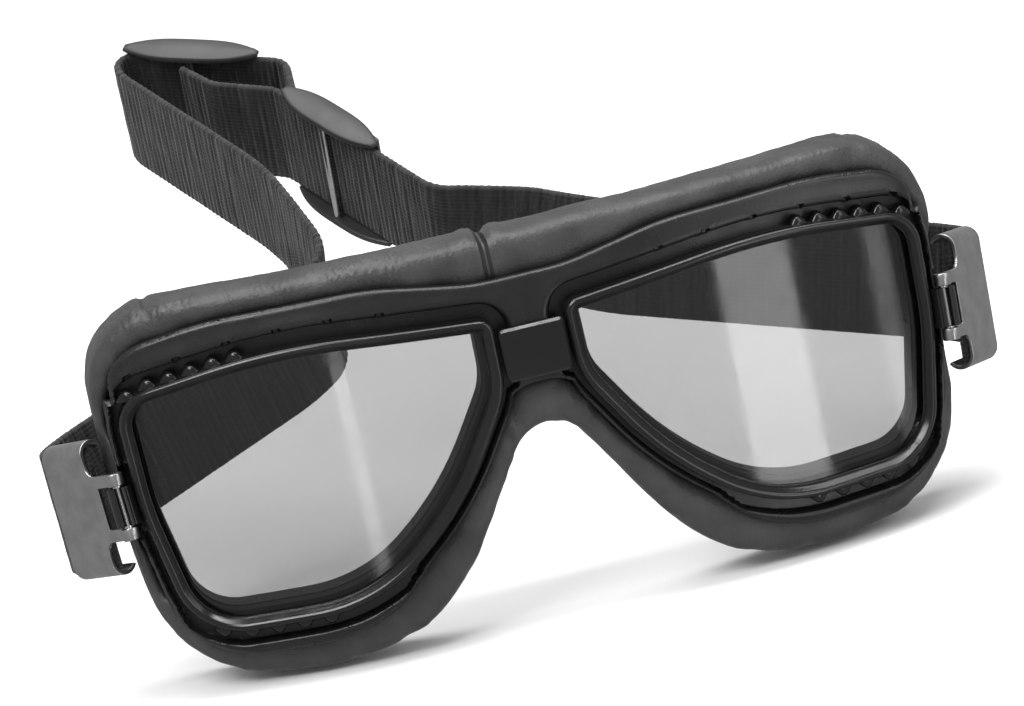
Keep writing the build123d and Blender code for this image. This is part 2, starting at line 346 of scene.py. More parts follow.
def moulded_plastic(name, tone, roughness, grain):
    """Black moulded plastic: soft mottling in the gloss, and a very fine surface grain."""
    m = Nodes(name)
    m.colour(m.noise(60), grey(tone * 0.8, 0.0005), grey(tone * 1.25, 0.0005))
    m.link(m.ramp(m.noise(220, 6), roughness - 0.05, roughness + 0.07), m.bsdf.inputs["Roughness"])
    broad = m.bump(m.noise(90, 3), 0.00006)
    m.bump(m.noise(2600, 3), grain, onto=broad)
    m.set(IOR=1.5)
    return m.material


def leatherette():
    """Satin black leatherette: pebbled grain over fine creases that run across the padding."""
    m = Nodes("cushion_leatherette")
    m.colour(m.noise(110, 5), grey(0.030), grey(0.056, 0.0008), 0.3, 0.75)
    m.link(m.ramp(m.noise(500, 5), 0.34, 0.52), m.bsdf.inputs["Roughness"])
    creases = m.bump(m.noise(900, 6, 0.6, stretch=(1.0, 0.25, 0.25)), 0.00022, 0.7)
    pebbles = m.bump(m.cells(1700), 0.00010, 0.6, onto=creases)
    grain = m.bump(m.noise(4200, 2), 0.00004, onto=pebbles)
    # fine upright folds that come and go over the brow
    place = m.add("ShaderNodeSeparateXYZ")
    m.link(m.coords, place.inputs[0])
    x, z = place.outputs["X"], place.outputs["Z"]
    folds = m.add("ShaderNodeTexWave", Scale=180.0, Distortion=5.0, Detail=2.0, bands_direction="X")
    folds.inputs["Detail Scale"].default_value = 1.6
    m.link(m.coords, folds.inputs["Vector"])
    brow = m.math("MULTIPLY", m.ramp(z, 0, 1, 12 * MM, 22 * MM), m.ramp(x, 1, 0.2, -30 * MM, 10 * MM))
    patchy = m.math("MULTIPLY", brow, m.ramp(m.noise(70, 3), 0.1, 1, 0.40, 0.60))
    folded = m.bump(m.math("MULTIPLY", folds.outputs["Fac"], patchy), 0.00022, 0.8, onto=grain)
    # the stitched seam at the middle of the brow
    across = m.math("ABSOLUTE", m.math("SUBTRACT", x, SEAM_X))
    seam = m.math("MULTIPLY", m.ramp(across, 1, 0, 0.2 * MM, 1.0 * MM), m.ramp(z, 0, 1, 0.0, 4 * MM))
    m.bump(m.math("SUBTRACT", 1.0, seam), 0.0016, 1.0, onto=folded)
    m.set(IOR=1.48)
    return m.material


def foam():
    """Open-cell foam: dark pores in a dull grey skin."""
    m = Nodes("foam")
    m.colour(m.cells(1300), grey(0.012), grey(0.075), 0.15, 0.6)
    m.bump(m.cells(1300), 0.0005)
    m.set(Roughness=0.95)
    return m.material


def rubber():
    m = Nodes("gasket_rubber")
    m.colour(m.noise(300), grey(0.012), grey(0.022))
    m.bump(m.noise(1500), 0.00008)
    m.set(Roughness=0.75)
    return m.material


def elastic():
    """Woven elastic: yarn bundles along the rib, with a little fuzz and sheen."""
    m = Nodes("strap_elastic")
    uv = m.add("ShaderNodeUVMap", uv_map="strap").outputs[0]
    yarn = m.mapped(uv, "ShaderNodeTexNoise", (4200.0, 420.0, 1.0), Detail=3.0)
    ribs = m.mapped(uv, "ShaderNodeTexNoise", (620.0, 55.0, 1.0), Detail=1.5)
    m.colour(m.math("MULTIPLY", yarn, ribs), grey(0.007), grey(0.024), 0.16, 0.36)
    wave = m.mapped(uv, "ShaderNodeTexWave", (1.0, 330.0, 1.0), Distortion=1.0, bands_direction="Y")
    fine = m.bump(wave, 0.00010, 0.7)
    woven = m.bump(yarn, 0.00020, 0.8, onto=fine)
    m.bump(ribs, 0.0012, 0.8, onto=woven)
    m.set(Roughness=0.78, Sheen_Weight=0.12, Sheen_Roughness=0.5)
    return m.material


def plated_steel(name, tone, roughness, scratch):
    """Plated sheet steel: fine drawn lines, faint stains and small dents."""
    m = Nodes(name)
    m.colour(m.noise(260, 6, 0.6), grey(tone * 0.86), grey(tone * 1.04), 0.35, 0.62)
    m.link(m.ramp(m.noise(700, 6), roughness - 0.05, roughness + 0.10), m.bsdf.inputs["Roughness"])
    lines = m.bump(m.noise(900, 3, stretch=(0.15, 0.15, 3.0)), scratch)
    m.bump(m.noise(120, 3), 0.00007, 0.4, onto=lines)
    m.set(Metallic=1.0)
    return m.material


def lens_plastic():
    """Clear polycarbonate with a light grey tint: straight-through light and a sharp surface reflection."""
    m = Nodes("lens_clear")
    tree = m.tree
    clear = m.add("ShaderNodeBsdfTransparent", Color=(0.58, 0.58, 0.58, 1))
    gloss = m.add("ShaderNodeBsdfGlossy", Color=(1, 1, 1, 1))
    m.link(m.ramp(m.noise(240, 6), 0.03, 0.10), gloss.inputs["Roughness"])
    fresnel = m.add("ShaderNodeFresnel", IOR=1.58)
    mix = m.add("ShaderNodeMixShader")
    m.link(m.math("MULTIPLY", fresnel.outputs[0], 0.9), mix.inputs[0])
    m.link(clear.outputs[0], mix.inputs[1])
    m.link(gloss.outputs[0], mix.inputs[2])
    m.link(mix.outputs[0], tree.nodes["Material Output"].inputs["Surface"])
    return m.material


MATERIALS = {
    "frame_black": moulded_plastic("frame_black", 0.009, 0.30, 0.00004),
    "rim_black": moulded_plastic("rim_black", 0.007, 0.15, 0.00002),
    "slider_plastic": moulded_plastic("slider_plastic", 0.030, 0.42, 0.00006),
    "cushion_leatherette": leatherette(),
    "foam": foam(),
    "gasket_rubber": rubber(),
    "strap_elastic": elastic(),
    "clip_steel": plated_steel("clip_steel", 0.50, 0.30, 0.00003),
    "pin_steel": plated_steel("pin_steel", 0.80, 0.16, 0.00001),
    "lens_clear": lens_plastic(),
}


PLATE_BEVEL = 0.45 * MM
SMALL_BEVEL = 0.18 * MM


def finish_piece(obj, slot):
    """Gives a piece the material of the record's slot."""
    obj.data.materials.clear()
    obj.data.materials.append(MATERIALS[slot])
    return obj


def dress_cad_nodes():
    """Materials for the CAD nodes that stay, and softened edges on the hard ones."""
    slots = {s["node"]: s["material_slot"] for s in frame["record"]["subparts"]}
    for name, obj in nodes.items():
        finish_piece(obj, slots[name])
        if "lens" in name and "rim" not in name:
            continue
        if slots[name] in ("clip_steel", "slider_plastic", "rim_black"):
            bevel = obj.modifiers.new("soft_edges", "BEVEL")
            bevel.width = PLATE_BEVEL if name == "bridge_plate" else SMALL_BEVEL
            bevel.segments = 3
            bevel.limit_method = "ANGLE"
            bevel.angle_limit = math.radians(35)
            bevel.harden_normals = True
            weld = obj.modifiers.new("weld", "WELD")
            weld.merge_threshold = 0.002 * MM
            obj.modifiers.move(1, 0)


dress_cad_nodes()


# ------------------------------------------------------------------ lens rims
# The rim's section, from the back of its wall round the front ridge to the back of its lip:
# distance in from the rim's outside, and depth, in millimetres.
RIM_SECTION = [(0.0, 8.0), (0.0, 4.5), (0.0, 1.5), (0.08, 0.95), (0.3, 0.45), (0.65, 0.12), (1.05, 0.0),
               (1.35, 0.1), (1.65, 0.42), (2.0, 0.85), (2.3, 1.15), (2.5, 1.45), (2.62, 1.9), (2.7, 2.4),
               (2.7, 2.9), (2.2, 2.9), (1.35, 2.95), (1.3, 8.0)]
TOOTH_WIDTH = 4.2 * MM
TOOTH_HEIGHT = 2.1 * MM
TOOTH_FRONT = 1.2 * MM
TOOTH_BACK = 4.2 * MM
TOOTH_ROOT = 0.5 * MM           # how far a tooth reaches into the rim's wall
# each row of teeth: the first one's x and the pitch in millimetres, how many, and whether it is above the eye
TEETH = ((57, 4.4, 6, True), (50, 5.2, 5, False))


def eye_outline(side):
    """The outside of one rim, seen from the front."""
    return evenly(sharp_loops(f"{side}_lens_rim", 0.0)[0], 1200)


def tooth(bm, x, z, outward):
    """One rounded wedge that stands out of the rim's wall into the vent channel."""
    rings = []
    for depth, swell in ((TOOTH_FRONT, 0.35), (TOOTH_FRONT + 0.25 * MM, 0.8), (TOOTH_FRONT + 0.7 * MM, 1.0),
                         (TOOTH_BACK, 1.0)):
        ring = []
        for i in range(17):
            at = i / 8 - 1
            rise = max(0.0, math.cos(math.pi / 2 * at)) ** 0.9
            up = outward * (swell * rise * TOOTH_HEIGHT - TOOTH_ROOT)
            ring.append(bm.verts.new(wrapped(x + at * swell * TOOTH_WIDTH / 2, z + up, depth)))
        rings.append(ring)
    for near, far in zip(rings, rings[1:]):
        for a, b, c, d in zip(near, near[1:], far[1:], far):
            bm.faces.new((a, b, c, d))
    bm.faces.new(rings[0])


def build_rim(side):
    outline = eye_outline(side)
    centre = EYE_CENTRE[side]
    offsets = {}
    for inward, depth in RIM_SECTION:
        if inward not in offsets:
            loop = outline if inward == 0 else grown(outline, -inward * MM, 1200)
            offsets[inward] = polar(loop, centre)
    loops = [[wrapped(x, z, depth * MM) for x, z in offsets[inward]] for inward, depth in RIM_SECTION]
    rim = new_object(f"{side}_rim_moulding", mesh_from(f"{side}_rim", *sweep_loops(loops)))
    bm = bmesh.new()
    bm.from_mesh(rim.data)
    sign = 1 if side == "right" else -1
    for first, step, count, above in TEETH:
        for i in range(count):
            x = sign * (first + step * i) * MM
            near = outline[np.abs(outline[:, 0] - x) < 0.4 * MM]
            z = near[:, 1].max() if above else near[:, 1].min()
            tooth(bm, x, z, 1 if above else -1)
    for face in bm.faces:
        face.smooth = True
    bmesh.ops.recalc_face_normals(bm, faces=bm.faces)
    bm.to_mesh(rim.data)
    bm.free()
    finish_piece(rim, "rim_black")
    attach(rim, "goggles")
    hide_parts(f"{side}_lens_rim")
    return outline


outlines = {side: build_rim(side) for side in ("left", "right")}


# ------------------------------------------------------------------ frame
EDGE_DEPTH = 2.4 * MM           # the flange falls back towards its outer edge
CREST_DEPTH = 1.5 * MM
CHANNEL_WIDTH = 2.9 * MM
OVERHANG = 2.0 * MM             # the flange stands out past the body above the eyes and below them
SIDE_OVERHANG = 0.35 * MM       # and hardly at all beside them
RIDGE_WIDTH = 1.0 * MM          # least width of the flange between the channel and the edge
LIP_HEIGHT = 0.45 * MM          # the flange's inner edge is eased by this much, over this width
LIP_WIDTH = 0.9 * MM
EDGE_ROUND = 0.9 * MM           # radius of its outer edge
LEDGE = 3.6 * MM                # the ledge behind each lens, from the rim's outside
RIM_BACK = 8.1 * MM
RECESS_DEPTH = 9.0 * MM
NOTCH_DEPTH = 4.4 * MM
NOTCH_SOFT = 0.3 * MM
FLANGE_BACK = 4.6 * MM          # the flange's edge reaches back to here, or to its front where that is deeper


def smooth_step(value):
    value = np.clip(value, 0, 1)
    return value * value * (3 - 2 * value)


def frame_outlines():
    """The outside of the frame's body, and of the flange in front of it, point by point."""
    body = evenly(sharp_loops("frame", FRAME_DEPTH)[0], 1600)
    normal = normals_of(body)
    above = smooth_step((normal[:, 1] - 0.2) / 0.5)
    below = smooth_step((-normal[:, 1] - 0.35) / 0.4) * smooth_step((np.abs(body[:, 0]) - 28 * MM) / (8 * MM))
    overhang = SIDE_OVERHANG + (OVERHANG - SIDE_OVERHANG) * np.maximum(above, below)
    return body, body + normal * overhang[:, None]


def clip_recess(points):
    """How deep the flange is cut back round each clip's hinge bar: 0 outside the recess, 1 inside it."""
    low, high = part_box("right_clip_bar")
    middle = (low + high) / 2
    x = np.abs(points[:, 0]) - (middle.x - 2.4 * MM)
    z = np.abs(points[:, 1] - middle.z)
    return smooth_step(x / (0.5 * MM) + 0.5) * smooth_step((7.5 * MM - z) / (0.5 * MM) + 0.5)


# notches in the flange's inner edge, above the channel: half their width, and their reach out from the rim
NOTCH_HALF = 0.7 * MM
NOTCH_BAND = (2.5 * MM, 3.9 * MM)
NOTCH_PLACES = [sign * (28 + 10 * i) * MM for sign in (-1, 1) for i in range(6)]


def flange_height(points, from_rim, from_edge):
    """Depth of the frame's front at points, from their distances to the rims and to the outer edge."""
    channel = np.clip(from_rim + from_edge - RIDGE_WIDTH, 0.8 * MM, CHANNEL_WIDTH)
    crest = CREST_DEPTH + (EDGE_DEPTH - CREST_DEPTH) * smooth_step(
        (from_rim - channel) / np.maximum(from_rim - channel + from_edge, 1e-6) * 1.05)
    wall = smooth_step((from_rim - channel + 0.25 * MM) / (0.5 * MM))
    depth = CHANNEL_DEPTH + (crest - CHANNEL_DEPTH) * wall
    lip = LIP_HEIGHT * (1 - smooth_step((from_rim - channel - 0.1 * MM) / LIP_WIDTH)) * wall
    edge = EDGE_ROUND * (1 - np.sqrt(np.clip(1 - (1 - np.clip(from_edge / EDGE_ROUND, 0, 1)) ** 2, 0, 1)))
    depth = depth + lip + edge
    for x in NOTCH_PLACES:
        near_x = smooth_step((NOTCH_HALF - np.abs(points[:, 0] - x)) / NOTCH_SOFT + 0.5)
        band = smooth_step((from_rim - NOTCH_BAND[0]) / NOTCH_SOFT)
        band = band * smooth_step((NOTCH_BAND[1] - from_rim) / NOTCH_SOFT)
        above = points[:, 1] > 5 * MM
        depth = np.where(above, depth + (NOTCH_DEPTH - depth) * near_x * band, depth)
    return depth + (RECESS_DEPTH - depth) * clip_recess(points)


def triangulate(points, keep, boundary_loops):
    """Triangles over points with the boundary loops as edges; keep says which triangles' middles may stay."""
    coords, edges = [], []
    for loop in boundary_loops:
        base = len(coords)
        coords += [Vector(p) for p in loop]
        edges += [(base + i, base + (i + 1) % len(loop)) for i in range(len(loop))]
    coords += [Vector(p) for p in points]
    made = delaunay_2d_cdt(coords, edges, [], 0, 1e-7)
    verts = np.array([tuple(v) for v in made[0]])
    faces = [tuple(f) for f in made[2]]
    middles = np.array([verts[list(f)].mean(0) for f in faces])
    good = keep(middles)
    return verts, [f for f, ok in zip(faces, good) if ok]


def between(outside, holes):
    """A test for points that lie inside one loop and outside all the holes."""
    def test(points):
        good = inside(outside, points)
        for hole in holes:
            good &= ~inside(hole, points)
        return good

    return test


def build_frame():
    body, edge = frame_outlines()
    rims = {side: evenly(outline, 1000) for side, outline in outlines.items()}
    samples = []
    for amount in (0.4, 1.0, 1.7, 2.2, 2.55, 2.8, 3.05, 3.4, 3.9, 4.6, 5.4, 6.4, 7.6, 9.0):
        for loop in rims.values():
            samples.append(grown(loop, amount * MM, 760))
    for amount in (0.12, 0.3, 0.55, 0.9, 1.5, 2.3):
        samples.append(grown(edge, -amount * MM, 1100))
    for x in NOTCH_PLACES:
        for dx in (-0.95, -0.7, -0.45, 0.0, 0.45, 0.7, 0.95):
            for z in np.arange(12.5, 19.0, 0.35):
                samples.append(np.array([[x + dx * MM, z * MM]]))
    points = np.vstack(samples)
    rim_distance = np.minimum(*[distance_to(loop, points) for loop in rims.values()])
    edge_distance = distance_to(edge, points)
    in_front = between(edge, rims.values())
    points = points[in_front(points) & (rim_distance > 0.3 * MM) & (edge_distance > 0.1 * MM)]
    keyed = {(round(x / (0.16 * MM)), round(z / (0.16 * MM))): (x, z) for x, z in points}
    points = np.array(list(keyed.values()))
    flat, faces = triangulate(points, in_front, [edge, *rims.values()])
    from_rim = np.minimum(*[distance_to(loop, flat) for loop in rims.values()])
    depth = flange_height(flat, from_rim, distance_to(edge, flat))
    verts = [wrapped(x, z, d) for (x, z), d in zip(flat, depth)]
    index = {(round(x * 1e7), round(z * 1e7)): i for i, (x, z) in enumerate(flat)}

    def loop_index(loop):
        return [index.get((round(x * 1e7), round(z * 1e7))) or
                int(np.argmin(np.linalg.norm(flat - (x, z), axis=1))) for x, z in loop]

    def wall(before, rings):
        """Quads from an existing ring of vertices back through further rings of 3-D points."""
        for ring in rings:
            base = len(verts)
            verts.extend(ring)
            count = len(ring)
            for k in range(count):
                n = (k + 1) % count
                faces.append((before[k], before[n], base + n, base + k))
            before = list(range(base, base + count))

    edge_ring = loop_index(edge)
    outer = []
    steps = ((edge, 0.0, 0.0), (edge * 0.999, 0.4 * MM, 0.2 * MM), (body, 0.5 * MM, 0.3 * MM))
    for line, least, more in steps:
        outer.append([wrapped(x, z, max(FLANGE_BACK + least, depth[i] + more))
                      for (x, z), i in zip(line, edge_ring)])
    outer.append([wrapped(x, z, FRAME_DEPTH) for x, z in body])
    wall(edge_ring, outer)
    inner_flat = []
    for side, loop in rims.items():
        ring = loop_index(loop)
        ledge = polar(grown(loop, -LEDGE, 1000), EYE_CENTRE[side], 1000)
        start = int(np.argmin(np.linalg.norm(ledge - loop[0], axis=1)))
        ledge = np.roll(ledge, -start, 0)
        matched = np.array([ledge[np.argmin(np.linalg.norm(ledge - p, axis=1))] for p in loop])
        wall(ring, [[wrapped(x, z, RIM_BACK) for x, z in loop],
                    [wrapped(x, z, RIM_BACK) for x, z in matched],
                    [wrapped(x, z, RIM_BACK + 0.6 * MM) for x, z in matched],
                    [wrapped(x, z, FRAME_DEPTH) for x, z in matched]])
        inner_flat.append(matched)

    # the back face, between the body's outside and the two eye openings
    thin = [evenly(body, 500)] + [evenly(loop, 300) for loop in inner_flat]
    back_flat, back_faces = triangulate([], between(body, inner_flat), thin)
    base = len(verts)
    verts.extend(wrapped(x, z, FRAME_DEPTH) for x, z in back_flat)
    faces.extend(tuple(base + i for i in reversed(f)) for f in back_faces)
    shell = new_object("frame_moulding", mesh_from("frame_moulding", verts, faces))
    bm = bmesh.new()
    bm.from_mesh(shell.data)
    bmesh.ops.remove_doubles(bm, verts=bm.verts, dist=0.004 * MM)
    bmesh.ops.recalc_face_normals(bm, faces=bm.faces)
    for e in bm.edges:
        e.smooth = e.calc_face_angle(0) < math.radians(55)
    bm.to_mesh(shell.data)
    bm.free()
    finish_piece(shell, "frame_black")
    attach(shell, "goggles")
    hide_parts("frame")
    return edge


flange_edge = build_frame()


# ------------------------------------------------------------------ face cushion
CUSHION_VOXEL = 2.1 * MM
CUSHION_PRESSURE = 4.0
CUSHION_FRAMES = 20
CUSHION_CAP = 1.3 * MM          # furthest the padding may swell
POCKET_DEPTH = 16 * MM
CUSHION_MARGIN = Vector((0.8, 0.8, 0.6)) * MM       # furthest the cover may stand out past its CAD box
FRONT_DEPTH = 4.9 * MM          # ahead of this the cover lies behind the flange and stays smooth
FREE_DEPTH = 5.4 * MM           # and from here on it may stand out


def shells(bm):
    """The separate closed surfaces of a mesh, each as a list of vertices."""
    left, found = set(bm.verts), []
    while left:
        stack, shell = [left.pop()], []
        while stack:
            vert = stack.pop()
            shell.append(vert)
            for edge in vert.link_edges:
                other = edge.other_vert(vert)
                if other in left:
                    left.remove(other)
                    stack.append(other)
        found.append(shell)
    return found


def extent(verts):
    return max(v.co.x for v in verts) - min(v.co.x for v in verts)


def cushion_blank():
    """The cover's outside, without the space for its filling, as an even mesh with its edges softened."""
    bm = bmesh.new()
    bm.from_mesh(nodes["cushion_cover"].data)
    bmesh.ops.remove_doubles(bm, verts=bm.verts, dist=SAME_PLACE)
    parts = sorted(shells(bm), key=extent)
    for inner in parts[:-1]:
        bmesh.ops.delete(bm, geom=inner, context="VERTS")
    blank = object_from(bm, "face_cushion")
    remesh = blank.modifiers.new("remesh", "REMESH")
    remesh.mode = "VOXEL"
    remesh.voxel_size = CUSHION_VOXEL
    soften = blank.modifiers.new("soften", "SMOOTH")
    soften.factor = 0.5
    soften.iterations = 9
    apply_modifiers(blank)
    return blank


def apply_modifiers(obj):
    """Replaces an object's mesh by what its modifiers make of it."""
    graph = bpy.context.evaluated_depsgraph_get()
    made = bpy.data.meshes.new_from_object(obj.evaluated_get(graph))
    obj.modifiers.clear()
    obj.data = made


def against_frame(points):
    """True for points in the pocket that holds the frame: they stay where they are."""
    flat = points[:, [0, 2]]
    depth = np.array([depth_of(p) for p in points])
    held = inside(grown(flange_edge, 0.5 * MM, 500), flat)
    return held & (depth < POCKET_DEPTH + 2.5 * MM)


def swell(obj):
    """Inflates the padding with the cloth solver, keeps the frame's pocket still and caps the movement."""
    rest = np.array([v.co for v in obj.data.vertices])
    held = against_frame(rest)
    group = obj.vertex_groups.new(name="held")
    group.add([int(i) for i in np.where(held)[0]], 1.0, "REPLACE")
    cloth = obj.modifiers.new("cloth", "CLOTH")
    cloth.settings.use_pressure = True
    cloth.settings.uniform_pressure_force = CUSHION_PRESSURE
    cloth.settings.vertex_group_mass = "held"
    cloth.settings.effector_weights.gravity = 0.0
    cloth.settings.quality = 5
    cloth.collision_settings.use_collision = False
    cloth.collision_settings.use_self_collision = False
    cloth.point_cache.frame_start = 1
    cloth.point_cache.frame_end = CUSHION_FRAMES
    scene = bpy.context.scene
    for number in range(1, CUSHION_FRAMES + 1):
        scene.frame_set(number)
    apply_modifiers(obj)
    obj.vertex_groups.clear()
    moved = np.array([v.co for v in obj.data.vertices]) - rest
    length = np.linalg.norm(moved, axis=1)
    print("cushion swelled by up to", round(float(length.max()) * 1000, 2), "mm")
    moved *= (np.minimum(length, CUSHION_CAP) / np.maximum(length, 1e-9))[:, None]
    obj.data.vertices.foreach_set("co", (rest + moved).ravel())
    scene.frame_set(1)


def bell(value, width):
    return math.exp(-(value / width) ** 2)


def cushion_relief(co, normal):
    """How far the cover stands out at a point: folds over the padding, the centre seam and the gathers."""
    depth = depth_of(co)
    if depth < FRONT_DEPTH:
        return 0.0
    free = min(1.0, max(0.0, (depth - FREE_DEPTH) / (2.5 * MM)))
    swirl = noise.noise(co * 170.0)
    brow = max(0.0, min(1.0, (co.z - 8 * MM) / (6 * MM)))
    under = max(0.0, min(1.0, (-30 * MM - co.z) / (8 * MM)))
    # shallow upright folds, close together over the brow and wider apart under the eyes
    phase = co.x / (2.7 * MM) + 2.2 * swirl + 60.0 * (co.y - 0.02)
    patches = 0.35 + 0.65 * noise.noise(co * 60.0 + Vector((3, 1, 4)))
    folds = 0.10 * MM * math.sin(2 * math.pi * phase) * patches
    height = brow * folds + under * 0.5 * folds
    height += 0.30 * MM * noise.noise(co * 70.0) + 0.10 * MM * noise.noise(co * 230.0)
    # the seam at the middle of the brow, with the cover pulled in to it
    if co.z > 0:
        across = co.x - SEAM_X - 0.8 * MM * noise.noise(Vector((co.y * 90, co.z * 90, 7)))
        height += -1.3 * MM * bell(across, 1.0 * MM) + 0.40 * MM * bell(abs(across) - 2.8 * MM, 1.6 * MM)
    # gathers round the nose, pulled in only
    nose = bell(co.x, 17 * MM) * bell(co.z + 15 * MM, 12 * MM)
    turn = math.atan2(co.z + 34 * MM, co.x)
    facing = max(0.0, -normal[1])
    gathers = -0.9 * MM * nose * facing * (0.6 + swirl) * (0.5 + 0.5 * math.sin(turn * 31 + 4.0 * swirl))
    # the cover folds over on itself at the top outer corners
    for side, depth_here in ((-1, 0.9), (1, 0.3)):
        across = co.x - side * 72.5 * MM - 6.0 * (co.z - 20 * MM) * 0.06 - 1.0 * MM * swirl
        corner = bell(co.z - 21.5 * MM, 6.5 * MM) * depth_here
        height -= corner * 0.85 * MM * bell(across, 0.8 * MM)
        height += corner * 0.45 * MM * bell(across - side * 2.2 * MM, 1.6 * MM)
    return height * free + gathers


def build_cushion():
    cushion = cushion_blank()
    swell(cushion)
    finer = cushion.modifiers.new("finer", "SUBSURF")
    finer.levels = finer.render_levels = 1
    apply_modifiers(cushion)
    mesh = cushion.data
    normals = np.array([v.normal for v in mesh.vertices])
    low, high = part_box("cushion_cover")
    for vert, normal in zip(mesh.vertices, normals):
        co = vert.co + Vector(normal) * cushion_relief(vert.co, normal)
        for k in range(3):
            co[k] = min(max(co[k], low[k] - CUSHION_MARGIN[k]), high[k] + CUSHION_MARGIN[k])
        vert.co = co
    mesh.shade_smooth()
    finish_piece(cushion, "cushion_leatherette")
    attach(cushion, "goggles")
    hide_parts("cushion_cover")


build_cushion()


# ------------------------------------------------------------------ strap
STRAP_ORIGIN = Vector((0, 45, -15)) * MM
STRAP_TILT = math.radians(28)
STRAP_ACROSS = Vector((1, 0, 0))
STRAP_BACK = Vector((0, math.cos(STRAP_TILT), math.sin(STRAP_TILT)))
STRAP_UP = Vector((0, -math.sin(STRAP_TILT), math.cos(STRAP_TILT)))
CLIP_REACH = 23 * MM
CLIP_ANGLE = math.radians(56)
RIB_HEIGHT = 0.26 * MM
ROWS_PER_RIB = 6
SAG = 5.5 * MM
# along each half of the strap: fully sagged to here, and not at all from here
SAG_REACH = {"left": (42 * MM, 84 * MM), "right": (58 * MM, 104 * MM)}
SECTION_HALF = STRAP_THICKNESS / 2 - 0.12 * MM      # half the thickness between the ribs
SECTION_ACROSS = (-1.0, -0.985, -0.95, -0.8, -0.6, -0.4, -0.2, 0.0, 0.2, 0.4, 0.6, 0.8, 0.95, 0.985, 1.0)
SECTION_THICK = (0.35, 0.8) + (1.0,) * 11 + (0.8, 0.35)
BEHIND_PLATE = 1.45 * MM        # the webbing's middle, from the clip plate's middle


def joint(name):
    return next(j for j in frame["record"]["behaviour"]["joints"] if j["name"] == name)


def clip_axes(side):
    """The hinge bar's middle, and the clip's directions: along its plate, up the bar, out of the plate."""
    spec = joint(f"{side}_clip_hinge")
    middle = Vector(spec["pos_m"])
    lean = Vector(spec["axis"])
    if lean.z < 0:
        lean = -lean
    sign = 1 if side == "right" else -1
    outward = Vector((sign * math.cos(CLIP_ANGLE), math.sin(CLIP_ANGLE), 0))
    along = (outward - lean * outward.dot(lean)).normalized()
    return middle, along, lean, along.cross(lean) * sign


def strap_centre_line(node, start_x):
    """The middle line of a CAD strap, as points in space, starting from its end nearest the clip."""
    bm = bmesh.new()
    bm.from_mesh(nodes[node].data)
    bmesh.ops.remove_doubles(bm, verts=bm.verts, dist=SAME_PLACE)
    top = {}
    for vert in bm.verts:
        rel = vert.co - STRAP_ORIGIN
        if rel.dot(STRAP_UP) > STRAP_WIDTH / 2 - 0.05 * MM:
            top[vert.index] = (rel.dot(STRAP_ACROSS), rel.dot(STRAP_BACK))
    links = {i: [] for i in top}
    for edge in bm.edges:
        a, b = (v.index for v in edge.verts)
        if a in top and b in top and edge.calc_face_angle(0) > math.radians(60):
            links[a].append(b)
            links[b].append(a)
    bm.free()
    chain, before = [next(iter(links))], None
    while True:
        ahead = [i for i in links[chain[-1]] if i != before]
        if not ahead or ahead[0] == chain[0]:
            break
        before = chain[-1]
        chain.append(ahead[0])
    loop = np.array([top[i] for i in chain])
    # the two ends are the short edges between right-angled corners
    step = np.roll(loop, -1, 0) - loop
    length = np.linalg.norm(step, axis=1)
    heading = step / length[:, None]
    turn_in = np.abs((heading * np.roll(heading, 1, 0)).sum(1)) < 0.3
    ends = [i for i in range(len(loop)) if turn_in[i] and turn_in[(i + 1) % len(loop)]
            and abs(length[i] - STRAP_THICKNESS) < 0.1 * MM]
    first, second = ends[0], ends[-1]
    one = np.roll(loop, -(first + 1), 0)[:(second - first) % len(loop)]
    other = np.roll(loop, -(second + 1), 0)[:(first - second) % len(loop)][::-1]

    def spread(line, count=500):
        at = np.r_[0, np.cumsum(np.linalg.norm(np.diff(line, axis=0), axis=1))]
        want = np.linspace(0, at[-1], count)
        return np.stack([np.interp(want, at, line[:, k]) for k in (0, 1)], 1)

    middle = (spread(one) + spread(other)) / 2
    if abs(middle[0][0] - start_x) > abs(middle[-1][0] - start_x):
        middle = middle[::-1]
    return [STRAP_ORIGIN + STRAP_ACROSS * s + STRAP_BACK * q for s, q in middle]


def bezier(a, b, c, d, count):
    out = []
    for i in range(count):
        t = i / (count - 1)
        out.append((1 - t) ** 3 * a + 3 * (1 - t) ** 2 * t * b + 3 * (1 - t) * t * t * c + t ** 3 * d)
    return out


def sagged(points, hold, fade):
    """Lets a centre line sag and stand upright near its clip, and fade into the CAD line further on."""
    moved, upright, gone = [], [], 0.0
    for i, point in enumerate(points):
        if i:
            gone += (point - points[i - 1]).length
        share = 1 - min(1.0, max(0.0, (gone - hold) / (fade - hold)))
        share = share * share * (3 - 2 * share)
        moved.append(point - Vector((0, 0, SAG)) * share)
        upright.append((Vector((0, 0, 1)) * share + STRAP_UP * (1 - share)).normalized())
    return moved, upright


